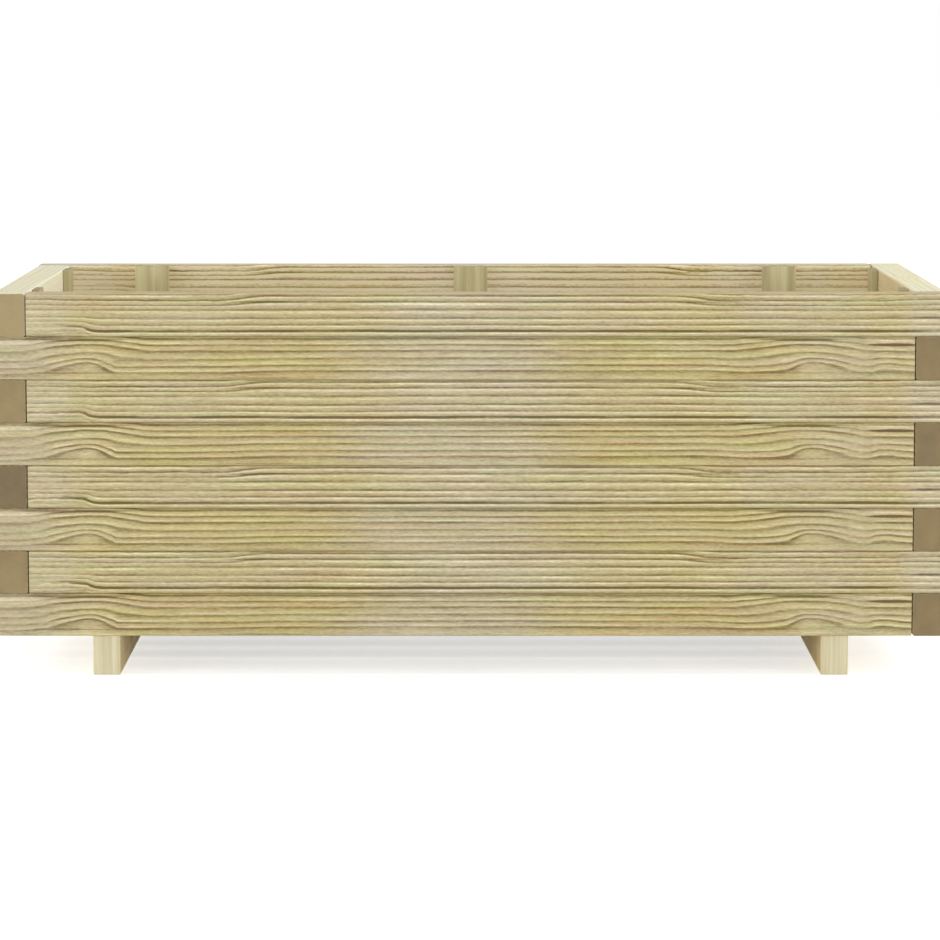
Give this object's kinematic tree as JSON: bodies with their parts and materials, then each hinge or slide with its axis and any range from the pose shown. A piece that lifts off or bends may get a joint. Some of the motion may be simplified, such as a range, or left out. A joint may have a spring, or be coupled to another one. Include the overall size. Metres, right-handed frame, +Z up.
{
  "type": "wooden planter",
  "caption": "Open rectangular floor planter of stacked softwood boards with interlocking corners, inner battens, a slatted floor and two runners.",
  "frame": {"origin": "centre of the footprint, on the ground under the runners", "axes": "+X to the right along the long walls, +Y to the back, +Z up"},
  "size_m": [1, 0.5, 0.402],
  "materials": {
    "wall_pine": "planed pressure-treated pine, matt, greenish yellow with brown growth rings",
    "batten_pine": "planed pressure-treated pine, matt, olive",
    "runner_pine": "planed pressure-treated pine, matt, pale cream ends",
    "floor_pine": "planed pressure-treated pine, matt",
    "zinc_steel": "zinc-plated steel"
  },
  "bodies": {
    "root": {"back_batten_left": "batten_pine", "back_batten_middle": "batten_pine", "back_batten_right": "batten_pine", "back_board_1": "wall_pine", "back_board_2": "wall_pine", "back_board_3": "wall_pine", "back_board_4": "wall_pine", "back_board_5": "wall_pine", "back_board_6": "wall_pine", "back_board_7": "wall_pine", "back_board_8": "wall_pine", "back_brads": "zinc_steel", "floor_brads": "zinc_steel", "floor_slat_1": "floor_pine", "floor_slat_2": "floor_pine", "floor_slat_3": "floor_pine", "floor_slat_4": "floor_pine", "floor_slat_5": "floor_pine", "floor_slat_6": "floor_pine", "front_batten_left": "batten_pine", "front_batten_middle": "batten_pine", "front_batten_right": "batten_pine", "front_board_1": "wall_pine", "front_board_2": "wall_pine", "front_board_3": "wall_pine", "front_board_4": "wall_pine", "front_board_5": "wall_pine", "front_board_6": "wall_pine", "front_board_7": "wall_pine", "front_board_8": "wall_pine", "front_brads": "zinc_steel", "left_batten_back": "batten_pine", "left_batten_front": "batten_pine", "left_board_1": "wall_pine", "left_board_2": "wall_pine", "left_board_3": "wall_pine", "left_board_4": "wall_pine", "left_board_5": "wall_pine", "left_board_6": "wall_pine", "left_board_7": "wall_pine", "left_board_8": "wall_pine", "left_brads": "zinc_steel", "left_corner_screws": "zinc_steel", "left_runner": "runner_pine", "right_batten_back": "batten_pine", "right_batten_front": "batten_pine", "right_board_1": "wall_pine", "right_board_2": "wall_pine", "right_board_3": "wall_pine", "right_board_4": "wall_pine", "right_board_5": "wall_pine", "right_board_6": "wall_pine", "right_board_7": "wall_pine", "right_board_8": "wall_pine", "right_brads": "zinc_steel", "right_corner_screws": "zinc_steel", "right_runner": "runner_pine", "runner_screws": "zinc_steel"}
  },
  "joints": []
}
